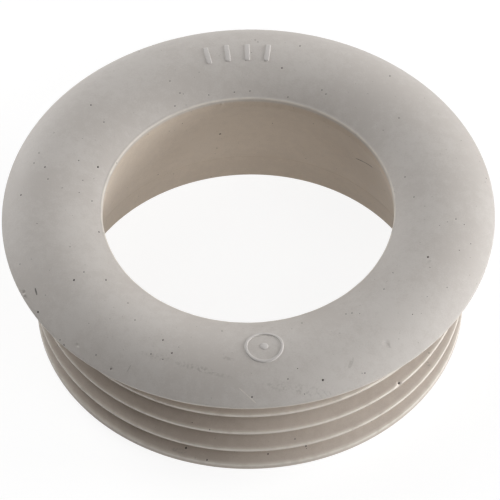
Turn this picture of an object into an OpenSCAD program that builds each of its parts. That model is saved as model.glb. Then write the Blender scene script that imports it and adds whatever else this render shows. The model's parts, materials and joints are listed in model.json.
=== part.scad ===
// Flush pipe connector, internal pattern: one soft rubber moulding.
// It stands on its lower end. Z is the bore's axis, and z = 0 is the lower end's flat face.
// Lengths are in millimetres.

/* [Flange] */
// Outside diameter of the domed flange
flange_d = 64; // [62:0.5:70]
// Height of the flange's seat face above the lower end
seat_h = 19.5; // [17.5:0.1:30]
// Thickness of the flange at its round rim
rim_t = 0.9; // [0.6:0.1:1.6]
// Radius of the arc that crowns the flange
dome_r = 10; // [9.5:0.5:40]

/* [Bore] */
// Diameter of the lip that grips the flush pipe
lip_d = 37.8; // [34:0.1:40]
// Height of the lip's top edge above the seat face
lip_h = 1.5; // [1.2:0.1:2.5]
// Length of the lip's straight land
lip_land = 1.6; // [1:0.1:3]
// Radius of the lip's top edge
lip_round = 0.3; // [0.1:0.05:0.5]
// Diameter of the bore where the socket ends
socket_d = 45.2; // [42:0.1:46]
// Height of the socket's end above the lower end
socket_h = 4.8; // [3:0.1:8]
// Diameter of the bore at the lower end
mouth_d = 47.2; // [46.2:0.1:48.4]

/* [Sleeve] */
// Thickness of the sleeve's wall, square to the axis
wall_t = 2.4; // [1.6:0.1:2.8]
// Radius of the fillet between the sleeve and the flange
neck_fillet = 1.5; // [0.5:0.1:2.5]
// Diameter of the lower end, measured to its corner before it is rounded
foot_d = 52.6; // [51:0.1:53]
// Radius of the lower end's outer corner
foot_round = 0.5; // [0.2:0.1:1]

/* [Fins] */
// Outside diameter of the sealing fins
fin_d = 56.4; // [54.5:0.1:60]
// Number of free fins above the lower collar
fin_count = 3; // [1:1:3]
// Height of the underside of the lower collar's edge above the lower end
collar_h = 2.3; // [1.8:0.05:3]
// Thickness of the lower collar at its edge
collar_edge_t = 0.8; // [0.5:0.05:1]
// Distance from one fin to the next
fin_pitch = 3.6; // [3.2:0.05:3.8]
// Thickness of a fin at its edge
fin_edge_t = 0.45; // [0.3:0.05:0.7]
// Thickness of a fin where it joins the sleeve
fin_root_t = 1.3; // [0.9:0.1:1.6]
// Radius of the fillet on top of a fin's root
fin_fillet = 0.6; // [0.3:0.1:0.8]

/* [Marks] */
// Height of the raised marks above the flange
mark_h = 0.15; // [0.1:0.05:0.3]
// Outside diameter of the raised ring mark
ring_d = 5; // [3:0.1:6]
// Width of the ring mark's line
ring_w = 0.4; // [0.3:0.05:0.8]
// Distance of the ring mark's centre from the axis
ring_at = 24.5; // [23.5:0.1:26]
// Number of raised tally bars
bar_count = 4; // [2:1:6]
// Length of a tally bar
bar_l = 3; // [2:0.1:4]
// Width of a tally bar
bar_w = 0.7; // [0.4:0.1:1]
// Angle about the axis from one tally bar to the next
bar_step = 6; // [4:0.5:9]
// Distance of the tally bars' middle from the axis
bar_at = 25.4; // [24:0.1:27]

/* [Hidden] */
$fn = 96;
// How far a piece of a section reaches into the one that it joins
bite = 0.3;
rim_r = flange_d / 2;
lip_r = lip_d / 2;
socket_r = socket_d / 2;
mouth_r = mouth_d / 2;
foot_r = foot_d / 2;
fin_r = fin_d / 2;
rim_z = seat_h + rim_t / 2;
lip_z = seat_h + lip_h;
land_z = lip_z - lip_land;

// The dome's arc touches the lip's round edge and the round rim.
lip_centre = [lip_r + lip_round, lip_z - lip_round];
rim_centre = [rim_r - rim_t / 2, rim_z];
dome_centre = lower_meet(lip_centre, dome_r - lip_round, rim_centre, dome_r - rim_t / 2);

// Angles of the flange's marks about the axis
ring_angle = -86;
bars_angle = 92.5;
dot_d = 1.1;

// Lower one of the two points that lie at distance r from p and at distance s from q
function lower_meet(p, r, q, s) =
    let (d = q - p, c = norm(d), along = (c * c + r * r - s * s) / (2 * c))
    p + (d * along + [d[1], -d[0]] * sqrt(r * r - along * along)) / c;

// Radius of the sleeve's outside at height z
function sleeve_r(z) =
    wall_t + lip_r + (mouth_r - lip_r) * (1 - z / seat_h);

// Height of the edge of free fin i, counted from the lowest
function fin_z(i) = collar_h + fin_pitch * (i + 1);

// Unit vector along v
function unit(v) = v / norm(v);

// Half the angle between the directions a and b
function half_angle(a, b) = acos(unit(a) * unit(b)) / 2;

// Distance along each side of a corner to where a circle of radius r touches it
function corner_reach(a, b, r) = r / tan(half_angle(a, b));

// Centre of the circle of radius r that touches both sides of the corner p
function corner_centre(p, a, b, r) =
    p + unit(unit(a) + unit(b)) * r / sin(half_angle(a, b));

// Fills the corner p, between the directions a and b that lead away from it, with radius r
module corner_fillet(p, a, b, r) {
    reach = corner_reach(a, b, r);
    centre = corner_centre(p, a, b, r);
    difference() {
        polygon([
            p - unit(unit(a) + unit(b)) * bite,
            p + unit(a) * reach,
            centre,
            p + unit(b) * reach
        ]);
        translate(centre)
            circle(r);
    }
}

// Flange: the flat seat, the crowned top, the round rim and the lip's round edge
module flange_section() {
    polygon([
        lip_centre,
        [lip_centre[0], land_z],
        [sleeve_r(seat_h), seat_h],
        [rim_centre[0], seat_h],
        rim_centre,
        (lip_centre + rim_centre) / 2 + [0, bite]
    ]);
    intersection() {
        translate(dome_centre)
            circle(dome_r);
        polygon([
            lip_centre,
            rim_centre,
            dome_centre + unit(rim_centre - dome_centre) * dome_r * 2,
            dome_centre + unit(lip_centre - dome_centre) * dome_r * 2
        ]);
    }
    translate(rim_centre)
        circle(rim_t / 2);
    translate(lip_centre)
        circle(lip_round);
}

// Sleeve: the wall between the bore and the cone that carries the fins
module sleeve_section() {
    polygon([
        [mouth_r, 0],
        [mouth_r + bite, 0],
        [sleeve_r(collar_h), collar_h],
        [sleeve_r(seat_h), seat_h],
        lip_centre,
        [lip_r, lip_centre[1]],
        [lip_r, land_z],
        [socket_r, socket_h]
    ]);
    corner_fillet(
        [sleeve_r(seat_h), seat_h],
        [1, 0],
        [sleeve_r(0) - sleeve_r(seat_h), -seat_h],
        neck_fillet
    );
}

// Free fin with its flat underside at height z and its top sloping up to the sleeve
module fin_section(z) {
    root_z = z + fin_root_t;
    root = [sleeve_r(root_z), root_z];
    polygon([
        [sleeve_r(z) - bite, z],
        [fin_r, z],
        [fin_r, z + fin_edge_t],
        root,
        [root[0] - bite, root_z]
    ]);
    corner_fillet(
        root,
        [fin_r, z + fin_edge_t] - root,
        [sleeve_r(seat_h), seat_h] - root,
        fin_fillet
    );
}

// Lower collar: a fin on top and a lead-in taper down to the flat foot
module collar_section() {
    edge_z = collar_h + collar_edge_t;
    root_z = edge_z + fin_root_t - fin_edge_t;
    root = [sleeve_r(root_z), root_z];
    foot = [foot_r, 0];
    inward = [-1, 0];
    taper = unit([fin_r, collar_h] - foot);
    reach = corner_reach(inward, taper, foot_round);
    polygon([
        [mouth_r, 0],
        foot + inward * reach,
        foot + taper * reach,
        [fin_r, collar_h],
        [fin_r, edge_z],
        root,
        [root[0] - bite, root_z],
        [socket_r + bite, socket_h]
    ]);
    translate(corner_centre(foot, inward, taper, foot_round))
        circle(foot_round);
    corner_fillet(
        root,
        [fin_r, edge_z] - root,
        [sleeve_r(seat_h), seat_h] - root,
        fin_fillet
    );
}

// Whole section, to the right of the axis
module connector_section() {
    flange_section();
    sleeve_section();
    collar_section();
    for (i = [0 : fin_count - 1])
        fin_section(fin_z(i));
}

// Plan of the raised marks: a ring with a dot, and a row of tally bars
module marks_plan() {
    rotate(ring_angle)
        translate([ring_at, 0]) {
            difference() {
                circle(d = ring_d);
                circle(d = ring_d - 2 * ring_w);
            }
            circle(d = dot_d);
        }
    for (i = [0 : bar_count - 1])
        rotate(bars_angle + bar_step * (i - (bar_count - 1) / 2))
            translate([bar_at, 0])
                square([bar_l, bar_w], center = true);
}

// Raised marks, which follow the crown of the flange
module marks() {
    intersection() {
        translate([0, 0, seat_h])
            linear_extrude(dome_r)
                marks_plan();
        rotate_extrude()
            intersection() {
                translate(dome_centre)
                    difference() {
                        circle(dome_r + mark_h);
                        circle(dome_r - bite);
                    }
                translate([lip_centre[0], seat_h])
                    square([rim_centre[0] - lip_centre[0], dome_r]);
            }
    }
}

// The connector: one moulding, off-white rubber
module connector() {
    color("#cfc9c3")
        union() {
            rotate_extrude()
                connector_section();
            marks();
        }
}

connector();
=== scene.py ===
import json
import math

import bmesh
import bpy
from mathutils import Matrix, Vector, noise
from mathutils.bvhtree import BVHTree


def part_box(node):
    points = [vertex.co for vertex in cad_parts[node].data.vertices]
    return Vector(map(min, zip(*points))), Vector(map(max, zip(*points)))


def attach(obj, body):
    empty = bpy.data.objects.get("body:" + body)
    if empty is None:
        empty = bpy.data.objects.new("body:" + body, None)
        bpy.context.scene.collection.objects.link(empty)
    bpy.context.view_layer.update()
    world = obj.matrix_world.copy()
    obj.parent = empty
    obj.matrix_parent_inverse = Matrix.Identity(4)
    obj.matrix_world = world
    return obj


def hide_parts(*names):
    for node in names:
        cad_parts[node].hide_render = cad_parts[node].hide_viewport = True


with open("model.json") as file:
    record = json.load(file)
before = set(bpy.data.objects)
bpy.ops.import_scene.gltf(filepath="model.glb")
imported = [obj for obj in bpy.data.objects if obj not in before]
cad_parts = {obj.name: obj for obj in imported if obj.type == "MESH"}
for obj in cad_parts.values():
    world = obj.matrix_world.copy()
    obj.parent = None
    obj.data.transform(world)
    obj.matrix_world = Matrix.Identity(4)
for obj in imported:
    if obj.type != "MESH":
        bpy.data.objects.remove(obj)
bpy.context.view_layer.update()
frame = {"record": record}

bl_info = {
    "name": "Flush Pipe Connector",
    "version": (1, 0, 0),
    "blender": (4, 5, 0),
    "location": "3D View > Sidebar > Connector",
    "description": "Moulds a rubber flush pipe connector with its marks and specks",
    "category": "Add Mesh",
}

MM = 0.001
BODY = "root"
NODE = "connector"
node_low, node_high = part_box(NODE)


def mount(name):
    """The record's mount of that name."""
    for entry in frame["record"]["mounts"]:
        if entry["name"] == name:
            return entry
    raise KeyError(f"the record has no mount named {name}")


def mount_radius(name):
    """Radius of a round mount, in millimetres."""
    return mount(name)["dims"]["r_mm"]


# Sizes and colours that a user would change

def length(name, description, default_mm):
    """A length property, whose default is given in millimetres."""
    return bpy.props.FloatProperty(
        name=name,
        description=description,
        default=default_mm * MM,
        min=0.0,
        precision=5,
        unit="LENGTH",
        subtype="DISTANCE",
    )


def offset(name, description, default_mm):
    """A length property that may be negative, whose default is given in millimetres."""
    return bpy.props.FloatProperty(
        name=name,
        description=description,
        default=default_mm * MM,
        precision=5,
        unit="LENGTH",
        subtype="DISTANCE",
    )


def angle(name, description, default_deg):
    """An angle property, whose default is given in degrees."""
    return bpy.props.FloatProperty(
        name=name,
        description=description,
        default=math.radians(default_deg),
        unit="ROTATION",
        subtype="ANGLE",
    )


def number(name, description, default):
    """A plain number property."""
    return bpy.props.FloatProperty(
        name=name,
        description=description,
        default=default,
        min=0.0,
        precision=3,
    )


def count(name, description, default):
    """A whole number property."""
    return bpy.props.IntProperty(
        name=name,
        description=description,
        default=default,
        min=1,
    )


def colour(name, description, default):
    """A colour property."""
    return bpy.props.FloatVectorProperty(
        name=name,
        description=description,
        default=default,
        min=0.0,
        max=1.0,
        size=3,
        subtype="COLOR",
    )


class ConnectorSizes(bpy.types.PropertyGroup):
    """Sizes of the moulding."""

    flange_radius: length(
        "Flange radius",
        "Outside radius of the domed flange",
        round(node_high.x / MM, 1),
    )
    rim_thickness: length("Rim thickness", "Thickness of the flange at its round rim", 0.9)
    crown_radius: length("Crown radius", "Radius of the arc that crowns the flange", 10.0)
    seat_height: length(
        "Seat height",
        "Height of the flange's seat face above the lower end",
        mount("seat_face")["pos_m"][2] / MM,
    )
    lip_radius: length(
        "Lip radius",
        "Radius of the lip that grips the flush pipe",
        mount_radius("pipe_lip"),
    )
    lip_height: length("Lip height", "Height of the lip's top above the seat face", 1.5)
    lip_land: length("Lip land", "Length of the lip's straight land", 1.6)
    lip_round: length("Lip round", "Radius of the lip's top edge", 0.3)
    flash_height: length("Flash height", "Height of the thin flash left on the lip", 0.07)
    socket_radius: length("Socket radius", "Radius of the bore where the socket ends", 22.6)
    socket_height: length("Socket height", "Height of the socket's end", 4.8)
    mouth_radius: length("Mouth radius", "Radius of the bore at the lower end", 23.6)
    wall: length("Wall", "Thickness of the sleeve's wall", 2.4)
    neck_fillet: length("Neck fillet", "Fillet between the sleeve and the flange", 1.5)
    foot_radius: length("Foot radius", "Radius of the lower end", 26.3)
    foot_round: length("Foot round", "Radius of the lower end's outer corner", 0.5)
    fin_radius: length(
        "Fin radius",
        "Outside radius of the sealing fins",
        mount_radius("spout_fins"),
    )
    fin_count: count("Fins", "Number of free fins above the lower collar", 3)
    collar_height: length("Collar height", "Height of the lower collar's edge", 2.3)
    collar_edge: length("Collar edge", "Thickness of the lower collar at its edge", 0.8)
    fin_pitch: length("Fin pitch", "Distance from one fin to the next", 3.6)
    fin_edge: length("Fin edge", "Thickness of a fin at its edge", 0.45)
    fin_root: length("Fin root", "Thickness of a fin where it joins the sleeve", 1.3)
    fin_fillet: length("Fin fillet", "Fillet on top of a fin's root", 0.6)
    edge_round: length("Edge round", "Radius of the worn sharp edges", 0.12)
    fin_wave: length("Fin wave", "How far the soft fins wander from a true circle", 0.1)
    rim_wave: length("Rim wave", "How far the rim wanders from a true circle", 0.08)
    turn_steps: count("Turn steps", "Faces in one turn round the axis", 300)


class MarkSizes(bpy.types.PropertyGroup):
    """Sizes of the raised marks on the flange."""

    height: length("Height", "Height of the marks above the flange", 0.14)
    ring_radius: length("Ring radius", "Middle radius of the ring mark's line", 2.3)
    line_width: length("Line width", "Width of the ring mark's line", 0.4)
    dot_radius: length("Dot radius", "Radius of the dot in the ring", 0.55)
    ring_at: length("Ring place", "Distance of the ring from the axis", 24.5)
    ring_angle: angle("Ring angle", "Angle of the ring about the axis", -86.0)
    bar_count: count("Bars", "Number of tally bars", 4)
    bar_length: length("Bar length", "Length of a tally bar", 3.0)
    bar_width: length("Bar width", "Width of a tally bar", 0.7)
    bar_step: angle("Bar step", "Angle from one tally bar to the next", 6.0)
    bar_at: length("Bar place", "Distance of the bars' middle from the axis", 25.4)
    bars_angle: angle("Bars angle", "Angle of the row of bars about the axis", 92.5)


class FinishColours(bpy.types.PropertyGroup):
    """Colours of the rubber and of what lies on it, with the tints that paint its highlights and its shade.
    """

    rubber: colour("Rubber", "Off-white rubber", (0.600, 0.565, 0.532))
    rubber_deep: colour("Rubber, darker", "Darker patches in the rubber", (0.548, 0.510, 0.476))
    # The cream of thin rubber at the lip's flash, also used as painted highlight along the rim, the collar
    # and the fin edges.
    cream_edge_and_highlight: colour("Thin edge", "Cream rubber where it is thin", (0.78, 0.73, 0.66))
    grit: colour("Grit", "Dark specks", (0.035, 0.030, 0.026))
    smear: colour("Smear", "Grey smears and scuffs", (0.30, 0.275, 0.25))
    # Painted shade: these two tints darken and warm the sleeve, its fins and the bore, standing for light
    # bounced between rubber faces under the flange and inside the bore.
    sleeve_bounce_shade: colour("Sleeve tint", "How the sleeve and its fins differ", (1.0, 0.944, 0.888))
    bore_bounce_shade: colour("Bore tint", "How the shade_warmed bore differs", (1.0, 0.915, 0.806))


class StageSettings(bpy.types.PropertyGroup):
    """Camera and lights."""

    view_elevation: angle("View elevation", "Height of the camera's view line", 50.38)
    view_roll: angle("View roll", "Roll of the camera", -0.96)
    view_distance: length("View distance", "Distance of the camera from its aim", 648.1)
    aim_height: length("Aim height", "Height of the point the camera is set from", 20.0)
    aim_right: offset("Aim right", "How far the frame's middle lies right of that point", 0.223)
    aim_down: offset("Aim down", "How far the frame's middle lies below that point", 4.784)
    lens: number("Lens", "Focal length of the camera in millimetres", 360.0)
    right_power: number("Right box", "Power of the low light on the right, in watts", 3.7)
    rear_left_power: number("Rear left box", "Power of the low light at the rear left, in watts", 2.2)
    front_power: number("Front box", "Power of the light in front, in watts", 1.14)
    rear_power: number("Rear box", "Power of the light behind, in watts", 0.4)
    upper_left_power: number("Upper left box", "Power of the high light on the left, in watts", 0.56)
    world_level: number("World level", "Strength of the even light all round", 0.0)
    floor_glow: number("Floor glow", "Light that the table gives off by itself", 0.3)


# Node trees

def add(tree, kind, values=None, **settings):
    """A new node, with its settings, and with a value or a link for each input."""
    made = tree.nodes.new(kind)
    for name, value in settings.items():
        setattr(made, name, value)
    for key, value in (values or {}).items():
        socket = made.inputs[key]
        if isinstance(value, bpy.types.NodeSocket):
            tree.links.new(value, socket)
        else:
            socket.default_value = value
    return made


def maths(tree, operation, *values):
    """The result of a Math node."""
    made = add(tree, "ShaderNodeMath", dict(enumerate(values)), operation=operation)
    return made.outputs[0]


def vector_maths(tree, operation, *values):
    """The vector result of a Vector Math node."""
    made = add(tree, "ShaderNodeVectorMath", dict(enumerate(values)), operation=operation)
    return made.outputs[0]


def ramp(tree, value, low, high, to_low=0.0, to_high=1.0):
    """A smooth step of value from to_low at low to to_high at high."""
    made = add(
        tree,
        "ShaderNodeMapRange",
        {0: value, 1: low, 2: high, 3: to_low, 4: to_high},
        interpolation_type="SMOOTHSTEP",
    )
    return made.outputs[0]


def mixed(tree, factor, first, second):
    """A mix of two colours."""
    made = tree.nodes.new("ShaderNodeMix")
    made.data_type = "RGBA"
    for index, value in ((0, factor), (6, first), (7, second)):
        if isinstance(value, bpy.types.NodeSocket):
            tree.links.new(value, made.inputs[index])
        else:
            made.inputs[index].default_value = value
    return made.outputs[2]


def polar_parts(tree, position):
    """Radius, height and unit radial direction of a position about the Z axis."""
    flat = vector_maths(tree, "MULTIPLY", position, (1.0, 1.0, 0.0))
    radius = add(tree, "ShaderNodeVectorMath", {0: flat}, operation="LENGTH").outputs["Value"]
    height = add(tree, "ShaderNodeSeparateXYZ", {0: position}).outputs["Z"]
    outward = vector_maths(tree, "NORMALIZE", flat)
    return radius, height, outward


def new_tree(kind, name, inputs, outputs):
    """A node group with named sockets, and its input and output nodes."""
    tree = bpy.data.node_groups.new(name, kind)
    for direction, sockets in (("INPUT", inputs), ("OUTPUT", outputs)):
        for label, socket_type, default in sockets:
            socket = tree.interface.new_socket(
                name=label,
                in_out=direction,
                socket_type=socket_type,
            )
            if default is not None:
                socket.default_value = default
    return tree, tree.nodes.new("NodeGroupInput"), tree.nodes.new("NodeGroupOutput")


def run_tree(obj, tree, values):
    """Runs a geometry tree on an object and keeps the result as its plain mesh."""
    modifier = obj.modifiers.new(tree.name, "NODES")
    modifier.node_group = tree
    for item in tree.interface.items_tree:
        if item.in_out == "INPUT" and item.name in values:
            modifier[item.identifier] = values[item.name]
    bpy.context.view_layer.update()
    graph = bpy.context.evaluated_depsgraph_get()
    mesh = bpy.data.meshes.new_from_object(obj.evaluated_get(graph))
    obj.modifiers.remove(modifier)
    spent = obj.data
    obj.data = mesh
    bpy.data.meshes.remove(spent)


# Section of the moulding, to the right of the axis

HOLD = 0.04 * MM
LONGEST_RUN = 1.0 * MM


def arc(centre, radius, start, end, steps, crowding=0.0):
    """Points along an arc from angle start to angle end, closer at its ends where crowded."""
    points = []
    for step in range(steps + 1):
        share = step / steps
        share -= crowding * math.sin(math.tau * share) / math.tau
        turn = start + (end - start) * share
        points.append(centre + Vector((math.cos(turn), math.sin(turn))) * radius)
    return points


def heading(vector):
    """Angle of a flat vector."""
    return math.atan2(vector.y, vector.x)


def rounded(before, corner, after, radius, steps):
    """Points round a corner, with a holding point beside each end of its arc."""
    back = (before - corner).normalized()
    ahead = (after - corner).normalized()
    half = back.angle(ahead) / 2
    reach = radius / math.tan(half)
    centre = corner + (back + ahead).normalized() * radius / math.sin(half)
    start = heading(corner + back * reach - centre)
    end = heading(corner + ahead * reach - centre)
    end = start + math.remainder(end - start, math.tau)
    held = [corner + back * (reach + HOLD)]
    held += arc(centre, radius, start, end, steps)
    held.append(corner + ahead * (reach + HOLD))
    return held


def circle_crossing(first, first_reach, second, second_reach):
    """Lower point that lies first_reach from first and second_reach from second."""
    gap = (second - first).length
    along = (first_reach ** 2 - second_reach ** 2 + gap ** 2) / (2 * gap)
    aside = math.sqrt(first_reach ** 2 - along ** 2)
    step = (second - first) / gap
    return first + step * along + Vector((step.y, -step.x)) * aside


class Crown:
    """The arc that crowns the flange, between the lip's round edge and the rim's."""

    def __init__(self, sizes):
        rim_round = sizes.rim_thickness / 2
        self.radius = sizes.crown_radius
        self.lip = Vector((
            sizes.lip_radius + sizes.lip_round,
            sizes.seat_height + sizes.lip_height - sizes.lip_round,
        ))
        self.rim = Vector((sizes.flange_radius - rim_round, sizes.seat_height + rim_round))
        self.centre = circle_crossing(
            self.lip,
            self.radius - sizes.lip_round,
            self.rim,
            self.radius - rim_round,
        )

    def height(self, radius):
        """Height of the crown at a radius."""
        return self.centre.y + math.sqrt(self.radius ** 2 - (radius - self.centre.x) ** 2)


def sleeve_radius(sizes, height):
    """Radius of the sleeve's outside at a height."""
    spread = sizes.mouth_radius - sizes.lip_radius
    return sizes.wall + sizes.lip_radius + spread * (1 - height / sizes.seat_height)


def sleeve_point(sizes, height):
    """Point on the sleeve's outside at a height."""
    return Vector((sleeve_radius(sizes, height), height))


def fin_corners(sizes, height, edge):
    """Corners of a fin, from the top of its root to its underside's root."""
    top = height + edge
    return [
        (sleeve_point(sizes, top + sizes.fin_root - sizes.fin_edge), sizes.fin_fillet, 7),
        (Vector((sizes.fin_radius, top)), sizes.edge_round, 5),
        (Vector((sizes.fin_radius, height)), sizes.edge_round, 4),
        (sleeve_point(sizes, height), sizes.edge_round, 3),
    ]


def section(sizes):
    """Closed outline of the moulding's section, down its outside and up its bore."""
    crown = Crown(sizes)
    seat = sizes.seat_height
    lip_top = seat + sizes.lip_height
    corners = [(Vector((crown.rim.x, seat)), 0.0, 0)]
    corners.append((sleeve_point(sizes, seat), sizes.neck_fillet, 8))
    for fin in reversed(range(sizes.fin_count)):
        height = sizes.collar_height + sizes.fin_pitch * (fin + 1)
        corners += fin_corners(sizes, height, sizes.fin_edge)
    corners += fin_corners(sizes, sizes.collar_height, sizes.collar_edge)[:3]
    corners.append((Vector((sizes.foot_radius, 0.0)), sizes.foot_round, 6))
    corners.append((Vector((sizes.mouth_radius, 0.0)), sizes.edge_round, 4))
    witness = 0.05 * MM
    socket_end = Vector((sizes.socket_radius, sizes.socket_height))
    corners.append((socket_end, witness, 2))
    corners.append((socket_end + Vector((-witness, 2 * witness)), witness, 2))
    corners.append((socket_end + Vector((-witness, 6 * witness)), witness, 2))
    corners.append((Vector((sizes.lip_radius, lip_top - sizes.lip_land)), sizes.lip_round, 4))
    corners.append((Vector((sizes.lip_radius, crown.lip.y)), 0.0, 0))

    points = [corners[0][0]]
    for index in range(1, len(corners) - 1):
        corner, radius, steps = corners[index]
        before = corners[index - 1][0]
        after = corners[index + 1][0]
        points += rounded(before, corner, after, radius, steps)

    lip_end = heading(crown.lip - crown.centre)
    rim_start = heading(crown.rim - crown.centre)
    points += arc(crown.lip, sizes.lip_round, math.pi, lip_end, 8)
    points += arc(crown.centre, crown.radius, lip_end, rim_start, 50, 0.75)[1:]
    points += arc(crown.rim, sizes.rim_thickness / 2, rim_start, -math.pi / 2, 14)[1:-1]
    return with_longer_runs_split(points)


def with_longer_runs_split(points):
    """The same closed outline, with points added along its long straight runs."""
    split = []
    for index, point in enumerate(points):
        after = points[(index + 1) % len(points)]
        pieces = max(1, math.ceil((after - point).length / LONGEST_RUN))
        for piece in range(pieces):
            split.append(point.lerp(after, piece / pieces))
    return split


# The moulding

def turning_tree():
    """Geometry tree that turns a section round the Z axis and lets its thin parts wander."""
    distance = "NodeSocketFloat"
    tree, given, result = new_tree(
        "GeometryNodeTree",
        "turned_moulding",
        [
            ("Section", "NodeSocketGeometry", None),
            ("Turn Radius", distance, 0.02),
            ("Turn Steps", "NodeSocketInt", 300),
            ("Sleeve Radius", distance, 0.024),
            ("Fin Radius", distance, 0.028),
            ("Flange Radius", distance, 0.032),
            ("Seat Height", distance, 0.0195),
            ("Fin Wave", distance, 0.0001),
            ("Rim Wave", distance, 0.0001),
            ("Seed", distance, 3.0),
            ("Finish", "NodeSocketMaterial", None),
        ],
        [("Geometry", "NodeSocketGeometry", None)],
    )
    sizes = given.outputs
    profile = add(tree, "GeometryNodeMeshToCurve", {0: sizes["Section"]})
    circle = add(
        tree,
        "GeometryNodeCurvePrimitiveCircle",
        {"Resolution": sizes["Turn Steps"], "Radius": sizes["Turn Radius"]},
        mode="RADIUS",
    )
    turned = add(
        tree,
        "GeometryNodeCurveToMesh",
        {"Curve": circle.outputs["Curve"], "Profile Curve": profile.outputs[0]},
    )

    position = add(tree, "GeometryNodeInputPosition").outputs[0]
    radius, height, outward = polar_parts(tree, position)
    lift = maths(tree, "MULTIPLY", height, 160.0)
    around = add(tree, "ShaderNodeCombineXYZ", {"Z": lift}).outputs[0]
    place = vector_maths(tree, "ADD", outward, around)
    waves = add(
        tree,
        "ShaderNodeTexNoise",
        {"Vector": place, "W": sizes["Seed"], "Scale": 1.7, "Detail": 2.0, "Roughness": 0.45},
        noise_dimensions="4D",
    )
    two_waves = add(tree, "ShaderNodeSeparateXYZ", {0: waves.outputs["Color"]}).outputs
    fins_low = ramp(tree, radius, sizes["Sleeve Radius"], sizes["Fin Radius"])
    below_seat = maths(tree, "LESS_THAN", height, maths(tree, "SUBTRACT", sizes["Seat Height"], 0.001))
    fin_mask = maths(tree, "MULTIPLY", fins_low, below_seat)
    rim_mask = ramp(tree, radius, sizes["Fin Radius"], sizes["Flange Radius"])
    fin_part = maths(tree, "MULTIPLY", fin_mask, sizes["Fin Wave"])
    rim_part = maths(tree, "MULTIPLY", rim_mask, sizes["Rim Wave"])
    free = maths(tree, "MAXIMUM", fin_part, rim_part)
    off_floor = ramp(tree, height, 0.0, 0.003)
    inward = maths(tree, "MULTIPLY", maths(tree, "MULTIPLY", free, two_waves["X"]), -1.0)
    upward = maths(tree, "MULTIPLY", free, maths(tree, "SUBTRACT", two_waves["Y"], 0.5))
    upward = maths(tree, "MULTIPLY", upward, off_floor)
    shift = add(tree, "ShaderNodeVectorMath", {0: outward, "Scale": inward}, operation="SCALE")
    rise = add(tree, "ShaderNodeCombineXYZ", {"Z": upward}).outputs[0]
    moved = add(
        tree,
        "GeometryNodeSetPosition",
        {
            "Geometry": turned.outputs[0],
            "Offset": vector_maths(tree, "ADD", shift.outputs[0], rise),
        },
    )
    smooth = add(tree, "GeometryNodeSetShadeSmooth", {"Geometry": moved.outputs[0]})
    real = add(tree, "GeometryNodeRealizeInstances", {"Geometry": smooth.outputs[0]})
    dressed = add(
        tree,
        "GeometryNodeSetMaterial",
        {"Geometry": real.outputs[0], "Material": sizes["Finish"]},
    )
    tree.links.new(dressed.outputs[0], result.inputs["Geometry"])
    return tree


def new_piece(name, vertices, edges, faces):
    """A mesh object in the scene, at the origin."""
    mesh = bpy.data.meshes.new(name)
    mesh.from_pydata(vertices, edges, faces)
    piece = bpy.data.objects.new(name, mesh)
    bpy.context.scene.collection.objects.link(piece)
    return piece


def turn_outward(piece):
    """Points every face of closed shells outwards."""
    work = bmesh.new()
    work.from_mesh(piece.data)
    bmesh.ops.recalc_face_normals(work, faces=work.faces)
    work.to_mesh(piece.data)
    work.free()


def adopt(piece):
    """Lets a finished piece ride on the body and stand for the CAD node."""
    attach(piece, BODY)
    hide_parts(NODE)


FRAME_WIDTH = 500
SENSOR_WIDTH = 36.0


def pixel_ray(stage, pixel):
    """The camera's place, and the direction through a pixel of the photograph's frame."""
    right, top, back, place = view_axes(stage)
    pixel_size = SENSOR_WIDTH / stage.lens / FRAME_WIDTH
    across = (pixel[0] - FRAME_WIDTH / 2) * pixel_size
    down = (pixel[1] - FRAME_WIDTH / 2) * pixel_size
    return place, (right * across - top * down - back).normalized()


def surface_at(tree, stage, pixel):
    """Place on the surface, and its normal, that the camera sees at a pixel."""
    place, direction = pixel_ray(stage, pixel)
    hit, normal, _, _ = tree.ray_cast(place, direction)
    if hit is None:
        raise RuntimeError(f"no part of the body lies behind pixel {pixel}")
    return hit, normal


def refine(work, centre, reach, cuts):
    """Splits the faces near a point, so that a small dent has enough of them."""
    edges = set()
    for face in work.faces:
        if (face.calc_center_median() - centre).length < reach:
            edges.update(face.edges)
    bmesh.ops.subdivide_edges(work, edges=list(edges), cuts=cuts, use_grid_fill=True)


def press(work, centre, reach, push):
    """Moves the surface near a point, most at the point itself."""
    for vertex in work.verts:
        near = (vertex.co - centre).length / reach
        if near < 1.0:
            vertex.co += push * (1.0 - near * near) ** 2


def raise_flash(work, sizes):
    """Raises the ragged line of flash round the lip, with the place where it is torn."""
    lip = Vector((sizes.lip_radius + 0.1 * MM, sizes.seat_height + sizes.lip_height - 0.03 * MM))
    reach = 0.24 * MM
    torn_at = math.radians(TORN_FLASH_ANGLE)
    torn_half = TORN_FLASH_LENGTH * MM / sizes.lip_radius / 2
    for vertex in work.verts:
        flat = Vector((vertex.co.x, vertex.co.y))
        near = (Vector((flat.length, vertex.co.z)) - lip).length / reach
        if near >= 1.0:
            continue
        turn = math.atan2(flat.y, flat.x)
        ragged = 0.75 + 0.5 * noise.noise(Vector((flat.x, flat.y, 0.0)) * 700.0)
        torn = abs(math.remainder(turn - torn_at, math.tau)) / torn_half
        whole = min(1.0, max(0.0, (torn - 0.85) / 0.3))
        height = sizes.flash_height * ragged * whole * (1.0 - near * near)
        outward = flat.normalized()
        vertex.co += Vector((-0.45 * outward.x, -0.45 * outward.y, 0.9)) * height


# Where the camera sees the dents: their pixel in the frame, their reach and their depth in mm
DENTS = (
    ((23.6, 292.0), 0.35, 0.16),
    ((25.4, 296.6), 0.30, 0.14),
    ((399.5, 384.0), 0.42, 0.30),
    ((386.0, 343.0), 0.60, 0.05),
    ((111.0, 369.0), 0.35, 0.12),
    ((77.0, 345.0), 0.30, 0.10),
    ((222.0, 104.0), 0.30, -0.10),
)
TORN_FLASH_ANGLE = 100.0
TORN_FLASH_LENGTH = 1.7


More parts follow.
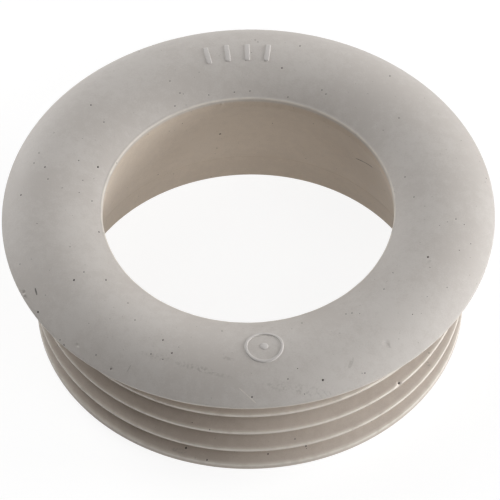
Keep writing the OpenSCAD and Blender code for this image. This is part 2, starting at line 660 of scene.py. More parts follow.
def touch_up(body, sizes, stage):
    """Gives the clean moulding its flash, chips and dents, and points its faces outwards."""
    work = bmesh.new()
    work.from_mesh(body.data)
    bmesh.ops.remove_doubles(work, verts=work.verts, dist=1e-7)
    bmesh.ops.recalc_face_normals(work, faces=work.faces)
    raise_flash(work, sizes)
    for pixel, reach, depth in DENTS:
        centre, normal = surface_at(BVHTree.FromBMesh(work), stage, pixel)
        refine(work, centre, reach * MM * 1.4, 4)
        press(work, centre, reach * MM, normal * -depth * MM)
    work.to_mesh(body.data)
    work.free()


class CONNECTOR_OT_body(bpy.types.Operator):
    """Mould the flange, the sleeve and its fins as one piece"""

    bl_idname = "connector.body"
    bl_label = "Mould the body"

    def execute(self, context):
        sizes = context.scene.connector_sizes
        stage = context.scene.connector_stage
        finish = bpy.data.materials.new("rubber")
        turn_radius = sizes.lip_radius
        outline = section(sizes)
        vertices = [(point.x - turn_radius, -point.y, 0.0) for point in outline]
        edges = [(index, (index + 1) % len(outline)) for index in range(len(outline))]
        body = new_piece("connector_body", vertices, edges, [])
        run_tree(body, turning_tree(), {
            "Turn Radius": turn_radius,
            "Turn Steps": sizes.turn_steps,
            "Sleeve Radius": sleeve_radius(sizes, 0.0),
            "Fin Radius": sizes.fin_radius,
            "Flange Radius": sizes.flange_radius,
            "Seat Height": sizes.seat_height,
            "Fin Wave": sizes.fin_wave,
            "Rim Wave": sizes.rim_wave,
            "Finish": finish,
        })
        touch_up(body, sizes, stage)
        paint_rubber(finish, context.scene.connector_colours, sizes, body, stage)
        adopt(body)
        return {"FINISHED"}


# Raised marks

def marks_tree():
    """Geometry tree of the raised marks: a ring with a dot, and a row of tally bars."""
    distance = "NodeSocketFloat"
    tree, given, result = new_tree(
        "GeometryNodeTree",
        "raised_marks",
        [
            ("Start", "NodeSocketGeometry", None),
            ("Height", distance, 0.00015),
            ("Ring Radius", distance, 0.0023),
            ("Line Width", distance, 0.0004),
            ("Dot Radius", distance, 0.0005),
            ("Ring Place", "NodeSocketVector", None),
            ("Bar Count", "NodeSocketInt", 4),
            ("Bar Length", distance, 0.003),
            ("Bar Width", distance, 0.0007),
            ("Bar Step", distance, 0.1),
            ("Bar Place", distance, 0.026),
            ("Bars Angle", distance, 1.6),
            ("Crown Radius", distance, 0.016),
            ("Crown Centre Radius", distance, 0.0247),
            ("Crown Centre Height", distance, 0.006),
            ("Finish", "NodeSocketMaterial", None),
        ],
        [("Geometry", "NodeSocketGeometry", None)],
    )
    sizes = given.outputs
    deep = maths(tree, "MULTIPLY", sizes["Height"], 2.0)

    line = add(
        tree,
        "GeometryNodeCurvePrimitiveQuadrilateral",
        {"Width": sizes["Line Width"], "Height": deep},
    )
    soft_line = add(
        tree,
        "GeometryNodeFilletCurve",
        {"Curve": line.outputs[0], "Radius": maths(tree, "MULTIPLY", sizes["Height"], 0.9)},
        mode="POLY",
    )
    soft_line.inputs["Count"].default_value = 4
    circle = add(
        tree,
        "GeometryNodeCurvePrimitiveCircle",
        {"Resolution": 96, "Radius": sizes["Ring Radius"]},
        mode="RADIUS",
    )
    ring = add(
        tree,
        "GeometryNodeCurveToMesh",
        {"Curve": circle.outputs["Curve"], "Profile Curve": soft_line.outputs[0]},
    )
    dot = add(
        tree,
        "GeometryNodeMeshUVSphere",
        {"Segments": 24, "Rings": 14, "Radius": 1.0},
    )
    dot_size = add(
        tree,
        "ShaderNodeCombineXYZ",
        {"X": sizes["Dot Radius"], "Y": sizes["Dot Radius"], "Z": sizes["Height"]},
    )
    flat_dot = add(
        tree,
        "GeometryNodeTransform",
        {"Geometry": dot.outputs["Mesh"], "Scale": dot_size.outputs[0]},
    )
    seal = tree.nodes.new("GeometryNodeJoinGeometry")
    tree.links.new(ring.outputs[0], seal.inputs[0])
    tree.links.new(flat_dot.outputs[0], seal.inputs[0])
    seal = add(
        tree,
        "GeometryNodeTransform",
        {"Geometry": seal.outputs[0], "Translation": sizes["Ring Place"]},
    )

    bar_size = add(
        tree,
        "ShaderNodeCombineXYZ",
        {"X": sizes["Bar Length"], "Y": sizes["Bar Width"], "Z": deep},
    )
    block = add(
        tree,
        "GeometryNodeMeshCube",
        {"Size": bar_size.outputs[0], "Vertices X": 9, "Vertices Y": 4, "Vertices Z": 3},
    )
    bar = add(
        tree,
        "GeometryNodeSubdivisionSurface",
        {"Mesh": block.outputs["Mesh"], "Level": 1},
    )
    index = add(tree, "GeometryNodeInputIndex").outputs[0]
    middle = maths(tree, "MULTIPLY", maths(tree, "SUBTRACT", sizes["Bar Count"], 1.0), 0.5)
    steps = maths(tree, "MULTIPLY", maths(tree, "SUBTRACT", index, middle), sizes["Bar Step"])
    turn = maths(tree, "ADD", sizes["Bars Angle"], steps)
    bar_x = maths(tree, "MULTIPLY", maths(tree, "COSINE", turn), sizes["Bar Place"])
    bar_y = maths(tree, "MULTIPLY", maths(tree, "SINE", turn), sizes["Bar Place"])
    bar_place = add(tree, "ShaderNodeCombineXYZ", {"X": bar_x, "Y": bar_y})
    points = add(
        tree,
        "GeometryNodePoints",
        {"Count": sizes["Bar Count"], "Position": bar_place.outputs[0]},
    )
    bars = add(
        tree,
        "GeometryNodeInstanceOnPoints",
        {
            "Points": points.outputs[0],
            "Instance": bar.outputs[0],
            "Rotation": add(tree, "ShaderNodeCombineXYZ", {"Z": turn}).outputs[0],
        },
    )

    joined = tree.nodes.new("GeometryNodeJoinGeometry")
    tree.links.new(seal.outputs[0], joined.inputs[0])
    tree.links.new(bars.outputs[0], joined.inputs[0])
    real = add(tree, "GeometryNodeRealizeInstances", {"Geometry": joined.outputs[0]})
    position = add(tree, "GeometryNodeInputPosition").outputs[0]
    radius, _, _ = polar_parts(tree, position)
    beside = maths(tree, "SUBTRACT", radius, sizes["Crown Centre Radius"])
    square = maths(
        tree,
        "SUBTRACT",
        maths(tree, "POWER", sizes["Crown Radius"], 2.0),
        maths(tree, "MULTIPLY", beside, beside),
    )
    crown = maths(tree, "ADD", sizes["Crown Centre Height"], maths(tree, "SQRT", square))
    draped = add(
        tree,
        "GeometryNodeSetPosition",
        {
            "Geometry": real.outputs[0],
            "Offset": add(tree, "ShaderNodeCombineXYZ", {"Z": crown}).outputs[0],
        },
    )
    smooth = add(tree, "GeometryNodeSetShadeSmooth", {"Geometry": draped.outputs[0]})
    dressed = add(
        tree,
        "GeometryNodeSetMaterial",
        {"Geometry": smooth.outputs[0], "Material": sizes["Finish"]},
    )
    tree.links.new(dressed.outputs[0], result.inputs["Geometry"])
    return tree


class CONNECTOR_OT_marks(bpy.types.Operator):
    """Raise the plain ring and the tally bars on the flange"""

    bl_idname = "connector.marks"
    bl_label = "Raise the marks"

    def execute(self, context):
        marks = context.scene.connector_marks
        crown = Crown(context.scene.connector_sizes)
        piece = new_piece("flange_marks", [], [], [])
        turn = marks.ring_angle
        run_tree(piece, marks_tree(), {
            "Height": marks.height,
            "Ring Radius": marks.ring_radius,
            "Line Width": marks.line_width,
            "Dot Radius": marks.dot_radius,
            "Ring Place": (math.cos(turn) * marks.ring_at, math.sin(turn) * marks.ring_at, 0.0),
            "Bar Count": marks.bar_count,
            "Bar Length": marks.bar_length,
            "Bar Width": marks.bar_width,
            "Bar Step": marks.bar_step,
            "Bar Place": marks.bar_at,
            "Bars Angle": marks.bars_angle,
            "Crown Radius": crown.radius,
            "Crown Centre Radius": crown.centre.x,
            "Crown Centre Height": crown.centre.y,
            "Finish": bpy.data.materials["rubber"],
        })
        turn_outward(piece)
        adopt(piece)
        return {"FINISHED"}


# Specks

# Where the camera sees the larger specks: their pixel in the frame and their radius in mm
LARGE_SPECK = 0.17
MIDDLE_SPECK = 0.13
SMALL_SPECK = 0.10
SPECKS = {
    LARGE_SPECK: (
        (428, 257), (98, 167), (323, 380), (220, 134), (186, 448), (399, 383), (38, 312), (74, 280),
    ),
    MIDDLE_SPECK: (
        (282, 68), (106, 280), (163, 340), (45, 167), (172, 353), (300, 46), (390, 76), (252, 397),
        (21, 195), (207, 460), (306, 446), (64, 345), (268, 454), (91, 105), (99, 232), (111, 369),
    ),
    SMALL_SPECK: (
        (39, 153), (322, 90), (302, 323), (414, 197), (104, 122), (288, 97), (326, 94), (456, 219),
        (288, 379), (34, 163), (250, 91), (399, 118), (352, 313), (151, 354), (170, 81), (365, 373),
        (222, 331), (92, 201), (48, 179), (346, 314), (180, 93), (405, 177), (384, 289), (128, 303),
        (135, 320), (84, 272), (175, 106), (217, 148), (295, 439), (429, 353), (96, 355), (60, 340),
    ),
}


def specks_tree():
    """Geometry tree that lodges flat grains of grit in a surface."""
    distance = "NodeSocketFloat"
    tree, given, result = new_tree(
        "GeometryNodeTree",
        "lodged_grit",
        [
            ("Spots", "NodeSocketGeometry", None),
            ("Surface", "NodeSocketObject", None),
            ("Grains Per Area", distance, 60000.0),
            ("Smallest", distance, 0.00003),
            ("Largest", distance, 0.0001),
            ("Top Radius", distance, 0.0318),
            ("Seed", "NodeSocketInt", 5),
            ("Finish", "NodeSocketMaterial", None),
        ],
        [("Geometry", "NodeSocketGeometry", None)],
    )
    sizes = given.outputs
    surface = add(tree, "GeometryNodeObjectInfo", {"Object": sizes["Surface"]})
    position = add(tree, "GeometryNodeInputPosition").outputs[0]
    radius, height, _ = polar_parts(tree, position)
    within = maths(tree, "LESS_THAN", radius, sizes["Top Radius"])
    above = maths(tree, "GREATER_THAN", height, 0.0003)
    strewn = add(
        tree,
        "GeometryNodeDistributePointsOnFaces",
        {
            "Mesh": surface.outputs["Geometry"],
            "Selection": maths(tree, "MULTIPLY", within, above),
            "Density": sizes["Grains Per Area"],
            "Seed": sizes["Seed"],
        },
        distribute_method="RANDOM",
    )
    chance = add(tree, "FunctionNodeRandomValue", {"Seed": 2}, data_type="FLOAT").outputs[1]
    small_more = maths(tree, "POWER", chance, 3.0)
    spread = maths(tree, "SUBTRACT", sizes["Largest"], sizes["Smallest"])
    grain = maths(tree, "MULTIPLY_ADD", small_more, spread, sizes["Smallest"])
    sized = add(
        tree,
        "GeometryNodeStoreNamedAttribute",
        {"Geometry": strewn.outputs["Points"], "Name": "grain", "Value": grain},
        data_type="FLOAT",
        domain="POINT",
    )
    spots = add(tree, "GeometryNodeMeshToPoints", {"Mesh": sizes["Spots"]})
    joined = tree.nodes.new("GeometryNodeJoinGeometry")
    tree.links.new(sized.outputs[0], joined.inputs[0])
    tree.links.new(spots.outputs[0], joined.inputs[0])

    normal = add(tree, "GeometryNodeInputNormal").outputs[0]
    facing = add(
        tree,
        "GeometryNodeSampleNearestSurface",
        {"Mesh": surface.outputs["Geometry"], "Sample Position": position},
        data_type="FLOAT_VECTOR",
    )
    tree.links.new(normal, facing.inputs["Value"])
    upright = add(
        tree,
        "FunctionNodeAlignRotationToVector",
        {"Vector": facing.outputs["Value"]},
        axis="Z",
    )
    spin = add(
        tree,
        "FunctionNodeRandomValue",
        {0: (0.0, 0.0, 0.0), 1: (0.0, 0.0, math.tau), "Seed": 7},
        data_type="FLOAT_VECTOR",
    ).outputs[0]
    turned = add(
        tree,
        "FunctionNodeRotateRotation",
        {"Rotation": upright.outputs[0], "Rotate By": spin},
        rotation_space="LOCAL",
    )
    size = add(tree, "GeometryNodeInputNamedAttribute", {"Name": "grain"}, data_type="FLOAT")
    shape = add(
        tree,
        "FunctionNodeRandomValue",
        {0: (0.75, 0.6, 0.3), 1: (1.25, 0.95, 0.45), "Seed": 11},
        data_type="FLOAT_VECTOR",
    ).outputs[0]
    scale = add(
        tree,
        "ShaderNodeVectorMath",
        {0: shape, "Scale": size.outputs["Attribute"]},
        operation="SCALE",
    )
    grit = add(tree, "GeometryNodeMeshIcoSphere", {"Radius": 1.0, "Subdivisions": 1})
    lodged = add(
        tree,
        "GeometryNodeInstanceOnPoints",
        {
            "Points": joined.outputs[0],
            "Instance": grit.outputs["Mesh"],
            "Rotation": turned.outputs[0],
            "Scale": scale.outputs[0],
        },
    )
    real = add(tree, "GeometryNodeRealizeInstances", {"Geometry": lodged.outputs[0]})
    smooth = add(tree, "GeometryNodeSetShadeSmooth", {"Geometry": real.outputs[0]})
    dressed = add(
        tree,
        "GeometryNodeSetMaterial",
        {"Geometry": smooth.outputs[0], "Material": sizes["Finish"]},
    )
    tree.links.new(dressed.outputs[0], result.inputs["Geometry"])
    return tree


class CONNECTOR_OT_specks(bpy.types.Operator):
    """Lodge the dark specks of grit in the rubber"""

    bl_idname = "connector.specks"
    bl_label = "Lodge the specks"

    def execute(self, context):
        stage = context.scene.connector_stage
        sizes = context.scene.connector_sizes
        body = bpy.data.objects["connector_body"]
        work = bmesh.new()
        work.from_mesh(body.data)
        surface = BVHTree.FromBMesh(work)
        work.free()
        places = []
        grains = []
        for radius, pixels in SPECKS.items():
            for pixel in pixels:
                hit, _ = surface_at(surface, stage, pixel)
                places.append(hit)
                grains.append(radius * MM)
        piece = new_piece("lodged_specks", places, [], [])
        stored = piece.data.attributes.new("grain", "FLOAT", "POINT")
        stored.data.foreach_set("value", grains)
        run_tree(piece, specks_tree(), {
            "Surface": body,
            "Top Radius": sizes.flange_radius - 0.2 * MM,
            "Finish": grit_finish(context.scene.connector_colours),
        })
        turn_outward(piece)
        adopt(piece)
        return {"FINISHED"}


# Finishes

def object_place(tree):
    """Object coordinates."""
    return add(tree, "ShaderNodeTexCoord").outputs["Object"]


def tone_group():
    """Shader group: the slight unevenness of moulded rubber, in colour and in height."""
    value = "NodeSocketFloat"
    tree, given, result = new_tree(
        "ShaderNodeTree",
        "moulded_tone",
        [
            ("Light", "NodeSocketColor", None),
            ("Deep", "NodeSocketColor", None),
            ("Patches Per Metre", value, 90.0),
            ("Grain Per Metre", value, 5200.0),
        ],
        [("Colour", "NodeSocketColor", None), ("Height", value, None)],
    )
    place = object_place(tree)
    patches = add(
        tree,
        "ShaderNodeTexNoise",
        {"Vector": place, "Scale": given.outputs["Patches Per Metre"], "Detail": 4.0},
    ).outputs[0]
    mottle = add(
        tree,
        "ShaderNodeTexNoise",
        {
            "Vector": place,
            "Scale": maths(tree, "MULTIPLY", given.outputs["Patches Per Metre"], 9.0),
            "Detail": 3.0,
            "Roughness": 0.6,
        },
    ).outputs[0]
    grain = add(
        tree,
        "ShaderNodeTexNoise",
        {
            "Vector": place,
            "Scale": given.outputs["Grain Per Metre"],
            "Detail": 2.0,
            "Roughness": 0.6,
        },
    ).outputs[0]
    cloud = maths(tree, "ADD", maths(tree, "MULTIPLY", patches, 0.55), maths(tree, "MULTIPLY", mottle, 0.45))
    both = maths(tree, "ADD", cloud, maths(tree, "MULTIPLY", maths(tree, "SUBTRACT", grain, 0.5), 0.35))
    shade = ramp(tree, both, 0.62, 0.38)
    toned = mixed(tree, shade, given.outputs["Light"], given.outputs["Deep"])
    height = maths(tree, "MULTIPLY_ADD", mottle, 0.8, maths(tree, "MULTIPLY", grain, 0.25))
    tree.links.new(toned, result.inputs["Colour"])
    tree.links.new(height, result.inputs["Height"])
    return tree


def speckle_group():
    """Shader group: a scatter of small soft dots."""
    value = "NodeSocketFloat"
    tree, given, result = new_tree(
        "ShaderNodeTree",
        "fine_speckle",
        [
            ("Cells Per Metre", value, 900.0),
            ("Share", value, 0.3),
            ("Dot Size", value, 0.1),
        ],
        [("Mask", value, None)],
    )
    cells = add(
        tree,
        "ShaderNodeTexVoronoi",
        {"Vector": object_place(tree), "Scale": given.outputs["Cells Per Metre"]},
    )
    chance = add(tree, "ShaderNodeSeparateXYZ", {0: cells.outputs["Color"]}).outputs
    kept = maths(tree, "LESS_THAN", chance["X"], given.outputs["Share"])
    size = maths(tree, "MULTIPLY", given.outputs["Dot Size"], maths(tree, "ADD", chance["Y"], 0.4))
    dot = ramp(tree, cells.outputs["Distance"], size, maths(tree, "MULTIPLY", size, 0.4))
    tree.links.new(maths(tree, "MULTIPLY", dot, kept), result.inputs["Mask"])
    return tree


def edge_group():
    """Shader group: a line that runs round the axis at one radius and height."""
    value = "NodeSocketFloat"
    tree, given, result = new_tree(
        "ShaderNodeTree",
        "round_edge",
        [("Radius", value, 0.02), ("Height", value, 0.02), ("Reach", value, 0.0002)],
        [("Mask", value, None)],
    )
    radius, height, _ = polar_parts(tree, object_place(tree))
    beside = maths(tree, "SUBTRACT", radius, given.outputs["Radius"])
    above = maths(tree, "SUBTRACT", height, given.outputs["Height"])
    gap = maths(
        tree,
        "SQRT",
        maths(tree, "ADD", maths(tree, "MULTIPLY", beside, beside), maths(tree, "MULTIPLY", above, above)),
    )
    near = maths(tree, "MULTIPLY", given.outputs["Reach"], 0.15)
    tree.links.new(ramp(tree, gap, given.outputs["Reach"], near), result.inputs["Mask"])
    return tree


def touch_group():
    """Shader group: a broken mark along a straight line between two places."""
    value = "NodeSocketFloat"
    tree, given, result = new_tree(
        "ShaderNodeTree",
        "touch_mark",
        [
            ("From", "NodeSocketVector", None),
            ("To", "NodeSocketVector", None),
            ("Reach", value, 0.0002),
            ("Break-up", value, 0.3),
            ("Grain Per Metre", value, 3000.0),
        ],
        [("Mask", value, None)],
    )
    place = object_place(tree)
    start = given.outputs["From"]
    along = vector_maths(tree, "SUBTRACT", given.outputs["To"], start)
    away = vector_maths(tree, "SUBTRACT", place, start)

    def dot(first, second):
        """Dot product of two vectors."""
        made = add(tree, "ShaderNodeVectorMath", {0: first, 1: second}, operation="DOT_PRODUCT")
        return made.outputs["Value"]

    share = add(
        tree,
        "ShaderNodeClamp",
        {0: maths(tree, "DIVIDE", dot(away, along), dot(along, along))},
    ).outputs[0]
    foot = add(tree, "ShaderNodeVectorMath", {0: along, "Scale": share}, operation="SCALE").outputs[0]
    gap = add(tree, "ShaderNodeVectorMath", {0: away, 1: foot}, operation="DISTANCE").outputs["Value"]
    ends = maths(tree, "SUBTRACT", 1.0, maths(tree, "POWER", maths(tree, "ABSOLUTE", maths(tree, "MULTIPLY_ADD", share, 2.0, -1.0)), 4.0))
    width = maths(tree, "MULTIPLY", given.outputs["Reach"], maths(tree, "MULTIPLY_ADD", ends, 0.7, 0.3))
    line = ramp(tree, gap, width, maths(tree, "MULTIPLY", width, 0.3))
    broken = add(
        tree,
        "ShaderNodeTexNoise",
        {"Vector": place, "Scale": given.outputs["Grain Per Metre"], "Detail": 2.0},
    ).outputs[0]
    low = maths(tree, "SUBTRACT", given.outputs["Break-up"], 0.1)
    high = maths(tree, "ADD", given.outputs["Break-up"], 0.1)
    tree.links.new(maths(tree, "MULTIPLY", line, ramp(tree, broken, low, high)), result.inputs["Mask"])
    return tree


def place_group(tree, group, values):
    """A shader group placed in a material, with its own values."""
    made = tree.nodes.new("ShaderNodeGroup")
    made.node_tree = group
    for name, value in values.items():
        made.inputs[name].default_value = value
    return made.outputs


# Where the camera sees the marks of handling: from one pixel in the frame to another,
# their reach in mm, how broken they are, how strong, and their colour
TOUCH_MARKS = (
    ((356, 158.5), (372, 167), 0.16, 0.10, 0.97, "grit"),
    ((371, 167), (381, 173), 0.09, 0.25, 0.55, "grit"),
    ((239, 388), (256, 403), 0.10, 0.10, 0.75, "cream_edge_and_highlight"),
    ((127, 372), (131, 365), 0.10, 0.35, 0.50, "smear"),
    ((176, 363), (214, 372), 0.60, 0.52, 0.32, "smear"),
    ((190, 367), (232, 378), 0.40, 0.50, 0.25, "smear"),
    ((222, 357), (234, 360), 0.35, 0.48, 0.35, "smear"),
    ((140, 352), (172, 360), 0.80, 0.55, 0.22, "smear"),
    ((349, 368), (353, 358), 0.35, 0.48, 0.35, "smear"),
    ((384, 343), (391, 347), 0.45, 0.50, 0.35, "smear"),
    ((172, 449), (186, 452), 0.45, 0.50, 0.40, "smear"),
    ((268, 385), (330, 394), 1.00, 0.56, 0.30, "smear"),
    ((428, 263), (431, 260), 0.30, 0.40, 0.25, "smear"),
    ((426, 362), (430, 366), 0.35, 0.45, 0.60, "smear"),
    ((35, 288), (37, 295), 0.16, 0.30, 0.80, "grit"),
)


def with_bounce_shade(tree, base, colours, sizes):
    """The base colour, with painted warm shade on the bore and on the outside of the sleeve, standing for
    light bounced between rubber faces.
    """
    radius, height, _ = polar_parts(tree, object_place(tree))
    spread = sizes.mouth_radius - sizes.lip_radius
    middle = maths(
        tree,
        "MULTIPLY_ADD",
        height,
        -spread / sizes.seat_height,
        sizes.mouth_radius + sizes.wall / 2,
    )
    from_wall = maths(tree, "SUBTRACT", radius, middle)
    lip = sizes.seat_height + sizes.lip_height - sizes.lip_round
    below_lip = ramp(tree, height, lip, lip - 0.5 * MM)
    below_rim = ramp(tree, height, sizes.seat_height + 0.5 * MM, sizes.seat_height)
    in_bore = maths(tree, "MULTIPLY", ramp(tree, from_wall, 0.2 * MM, -0.2 * MM), below_lip)
    on_sleeve = maths(tree, "MULTIPLY", ramp(tree, from_wall, -0.2 * MM, 0.2 * MM), below_rim)
    plain = (1.0, 1.0, 1.0, 1.0)
    # Painted shade: the sleeve and bore tints multiply the base colour.
    tint = mixed(tree, on_sleeve, plain, (*colours.sleeve_bounce_shade, 1.0))
    tint = mixed(tree, in_bore, tint, (*colours.bore_bounce_shade, 1.0))
    return vector_maths(tree, "MULTIPLY", base, tint)


def paint_rubber(material, colours, sizes, body, stage):
    """Off-white moulded rubber with cream edges that are partly thin flash and partly painted highlight,
    painted warm shade in the bore and on the sleeve, fine specks and marks of handling.
    """
    material.use_nodes = True
    tree = material.node_tree
    shader = tree.nodes["Principled BSDF"]
    tone = place_group(tree, tone_group(), {
        "Light": (*colours.rubber, 1.0),
        "Deep": (*colours.rubber_deep, 1.0),
    })
    # Painted warm shade on the bore and on the sleeve and its fins.
    base = with_bounce_shade(tree, tone["Colour"], colours, sizes)

    # Painted highlight: cream lines round the lip, the rim, the collar and each fin's edge stand for light
    # caught on these edges; at the lip they are also the cream of the thin flash.
    round_edge = edge_group()
    lip_top = sizes.seat_height + sizes.lip_height
    edges = [(sizes.lip_radius + 0.06 * MM, lip_top - 0.04 * MM, 0.26 * MM)]
    edges.append((sizes.flange_radius, sizes.seat_height + 0.2 * MM, 0.4 * MM))
    edges.append((sizes.fin_radius, sizes.collar_height + sizes.collar_edge, 0.6 * MM))
    for fin in range(sizes.fin_count):
        height = sizes.collar_height + sizes.fin_pitch * (fin + 1) + sizes.fin_edge * 0.8
        edges.append((sizes.fin_radius, height, 0.6 * MM))
    thin = None
    for radius, height, reach in edges:
        mask = place_group(tree, round_edge, {
            "Radius": radius,
            "Height": height,
            "Reach": reach,
        })["Mask"]
        thin = maths(tree, "MAXIMUM", thin, mask) if thin else mask
    # Noise that breaks up the painted edge highlight along its length.
    worn = add(
        tree,
        "ShaderNodeTexNoise",
        {"Vector": object_place(tree), "Scale": 700.0, "Detail": 2.0},
    ).outputs[0]
    thin = maths(tree, "MULTIPLY", thin, ramp(tree, worn, 0.25, 0.6, 0.45, 0.9))
    base = mixed(tree, thin, base, (*colours.cream_edge_and_highlight, 1.0))

    speckle = speckle_group()
    for cells, share, size, strength in ((800.0, 0.30, 0.085, 0.45), (2300.0, 0.25, 0.16, 0.16)):
        dots = place_group(tree, speckle, {
            "Cells Per Metre": cells,
            "Share": share,
            "Dot Size": size,
        })["Mask"]
        base = mixed(tree, maths(tree, "MULTIPLY", dots, strength), base, (*colours.smear, 1.0))

    work = bmesh.new()
    work.from_mesh(body.data)
    surface = BVHTree.FromBMesh(work)
    work.free()
    touch = touch_group()
    touched = None
    for first, last, reach, broken, strength, name in TOUCH_MARKS:
        mask = place_group(tree, touch, {
            "From": surface_at(surface, stage, first)[0],
            "To": surface_at(surface, stage, last)[0],
            "Reach": reach * MM,
            "Break-up": broken,
        })["Mask"]
        mask = maths(tree, "MULTIPLY", mask, strength)
        base = mixed(tree, mask, base, (*getattr(colours, name), 1.0))
        touched = maths(tree, "MAXIMUM", touched, mask) if touched else mask

    rough = ramp(tree, tone["Height"], 0.3, 0.75, 0.52, 0.68)
    bump = add(
        tree,
        "ShaderNodeBump",
        {"Strength": 0.5, "Distance": 0.05 * MM, "Height": tone["Height"]},
    )
    tree.links.new(base, shader.inputs["Base Color"])
    tree.links.new(maths(tree, "MULTIPLY_ADD", touched, 0.1, rough), shader.inputs["Roughness"])
    tree.links.new(bump.outputs[0], shader.inputs["Normal"])
    shader.inputs["Specular IOR Level"].default_value = 0.4


def grit_finish(colours):
    """Dull dark grit."""
    material = bpy.data.materials.new("grit")
    material.use_nodes = True
    tree = material.node_tree
    shader = tree.nodes["Principled BSDF"]
    brown = tuple(part * 2.5 for part in colours.grit)
    grain = add(
        tree,
        "ShaderNodeTexNoise",
        {"Vector": object_place(tree), "Scale": 900.0, "Detail": 2.0},
    ).outputs[0]
    tint = mixed(tree, ramp(tree, grain, 0.4, 0.62), (*colours.grit, 1.0), (*brown, 1.0))
    tree.links.new(tint, shader.inputs["Base Color"])
    shader.inputs["Roughness"].default_value = 0.8
    return material


# Stage

LIGHT_WIDTH = 0.35
LIGHT_DISTANCE = 0.6


def view_axes(stage):
    """Directions of the frame's right, its top and its back, and the camera's place."""
    rise = stage.view_elevation
    back = Vector((0.0, -math.cos(rise), math.sin(rise)))
    level = Vector((1.0, 0.0, 0.0))
    upright = back.cross(level)
    turn = stage.view_roll
    right = level * math.cos(turn) + upright * math.sin(turn)
    top = upright * math.cos(turn) - level * math.sin(turn)
    aim = Vector((0.0, 0.0, stage.aim_height)) + right * stage.aim_right - top * stage.aim_down
    return right, top, back, aim + back * stage.view_distance


def area_light(name, power, azimuth, elevation):
    """A soft square light that faces the middle of the part."""
    data = bpy.data.lights.new(name, "AREA")
    data.energy = power
    data.size = LIGHT_WIDTH
    turn = math.radians(azimuth)
    rise = math.radians(elevation)
    toward = Vector((
        math.cos(rise) * math.cos(turn),
        math.cos(rise) * math.sin(turn),
        math.sin(rise),
    ))
    light = bpy.data.objects.new(name, data)
    light.location = toward * LIGHT_DISTANCE
    light.rotation_euler = toward.to_track_quat("Z", "Y").to_euler()
    light.visible_camera = False
    bpy.context.scene.collection.objects.link(light)


def seen_directly(tree):
    """1 where a surface is seen directly or in a reflection, and 0 where it lights others."""
    path = tree.nodes.new("ShaderNodeLightPath")
    camera_or_gloss = maths(
        tree,
        "MAXIMUM",
        path.outputs["Is Camera Ray"],
        path.outputs["Is Glossy Ray"],
    )
    return maths(tree, "MAXIMUM", camera_or_gloss, path.outputs["Is Transmission Ray"])


def floor_finish(glow_level):
    """Pale floor that looks white and keeps the part's soft shadow."""
    material = bpy.data.materials.new("pale_floor")
    material.use_nodes = True
    tree = material.node_tree
    tree.nodes.remove(tree.nodes["Principled BSDF"])
    glow = add(tree, "ShaderNodeEmission", {"Color": (1.0, 1.0, 1.0, 1.0), "Strength": 0.88})
    shaded = add(tree, "ShaderNodeBsdfDiffuse", {"Color": (0.2, 0.2, 0.2, 1.0)})
    both = add(tree, "ShaderNodeAddShader", {0: glow.outputs[0], 1: shaded.outputs[0]})
    paper = add(tree, "ShaderNodeBsdfDiffuse", {"Color": (0.45, 0.45, 0.45, 1.0)})
    lit = add(tree, "ShaderNodeEmission", {"Color": (1.0, 1.0, 1.0, 1.0), "Strength": glow_level})
    bounce = add(tree, "ShaderNodeAddShader", {0: paper.outputs[0], 1: lit.outputs[0]})
    seen = add(
        tree,
        "ShaderNodeMixShader",
        {0: seen_directly(tree), 1: bounce.outputs[0], 2: both.outputs[0]},
    )
    tree.links.new(seen.outputs[0], tree.nodes["Material Output"].inputs["Surface"])
    return material


def set_world(level):
    """White surroundings to the eye, and an even soft light for the part."""
    world = bpy.data.worlds.new("soft_room")
    world.use_nodes = True
    tree = world.node_tree
    background = tree.nodes["Background"]
    background.inputs["Color"].default_value = (1.0, 1.0, 1.0, 1.0)
    strength = add(
        tree,
        "ShaderNodeMapRange",
        {"Value": seen_directly(tree), "To Min": level, "To Max": 1.0},
    )
    tree.links.new(strength.outputs[0], background.inputs["Strength"])
    bpy.context.scene.world = world


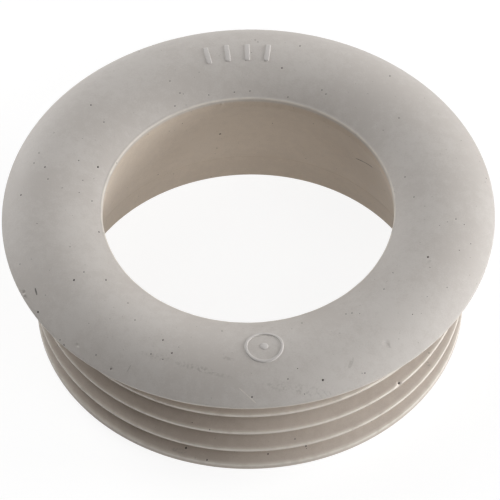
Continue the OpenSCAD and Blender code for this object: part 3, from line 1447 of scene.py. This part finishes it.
class CONNECTOR_OT_stage(bpy.types.Operator):
    """Set the floor, the soft lights and the camera"""

    bl_idname = "connector.stage"
    bl_label = "Set the stage"

    def execute(self, context):
        stage = context.scene.connector_stage
        half = 1.5
        corners = [(-half, -half, 0.0), (half, -half, 0.0), (half, half, 0.0), (-half, half, 0.0)]
        floor = new_piece("pale_floor", corners, [], [(0, 1, 2, 3)])
        floor.data.materials.append(floor_finish(stage.floor_glow))
        set_world(stage.world_level)
        area_light("right_box", stage.right_power, 5.0, 13.0)
        area_light("rear_left_box", stage.rear_left_power, 135.0, 13.0)
        area_light("front_box", stage.front_power, 305.0, 38.0)
        area_light("rear_box", stage.rear_power, 90.0, 38.0)
        area_light("upper_left_box", stage.upper_left_power, 158.0, 62.0)

        data = bpy.data.cameras.new("photo_camera")
        data.lens = stage.lens
        data.sensor_width = SENSOR_WIDTH
        camera = bpy.data.objects.new("photo_camera", data)
        right, top, back, place = view_axes(stage)
        axes = Matrix((right, top, back)).transposed().to_4x4()
        camera.matrix_world = Matrix.Translation(place) @ axes
        context.scene.collection.objects.link(camera)
        context.scene.camera = camera
        context.scene.view_settings.view_transform = "Standard"
        return {"FINISHED"}


class CONNECTOR_PT_panel(bpy.types.Panel):
    """The connector's steps and sizes"""

    bl_idname = "CONNECTOR_PT_panel"
    bl_label = "Flush pipe connector"
    bl_space_type = "VIEW_3D"
    bl_region_type = "UI"
    bl_category = "Connector"

    def draw(self, context):
        layout = self.layout
        for operator in OPERATORS:
            layout.operator(operator.bl_idname)


OPERATORS = (CONNECTOR_OT_body, CONNECTOR_OT_marks, CONNECTOR_OT_specks, CONNECTOR_OT_stage)
GROUPS = {
    "connector_sizes": ConnectorSizes,
    "connector_marks": MarkSizes,
    "connector_colours": FinishColours,
    "connector_stage": StageSettings,
}


def register():
    """Registers the property groups, the operators and the panel."""
    for name, group in GROUPS.items():
        bpy.utils.register_class(group)
        setattr(bpy.types.Scene, name, bpy.props.PointerProperty(type=group))
    for operator in OPERATORS:
        bpy.utils.register_class(operator)
    bpy.utils.register_class(CONNECTOR_PT_panel)


def unregister():
    """Undoes register."""
    bpy.utils.unregister_class(CONNECTOR_PT_panel)
    for operator in reversed(OPERATORS):
        bpy.utils.unregister_class(operator)
    for name, group in reversed(GROUPS.items()):
        delattr(bpy.types.Scene, name)
        bpy.utils.unregister_class(group)


def main():
    """Makes the part and its stage."""
    register()
    bpy.ops.connector.body()
    bpy.ops.connector.marks()
    bpy.ops.connector.specks()
    bpy.ops.connector.stage()


if __name__ == "__main__":
    main()
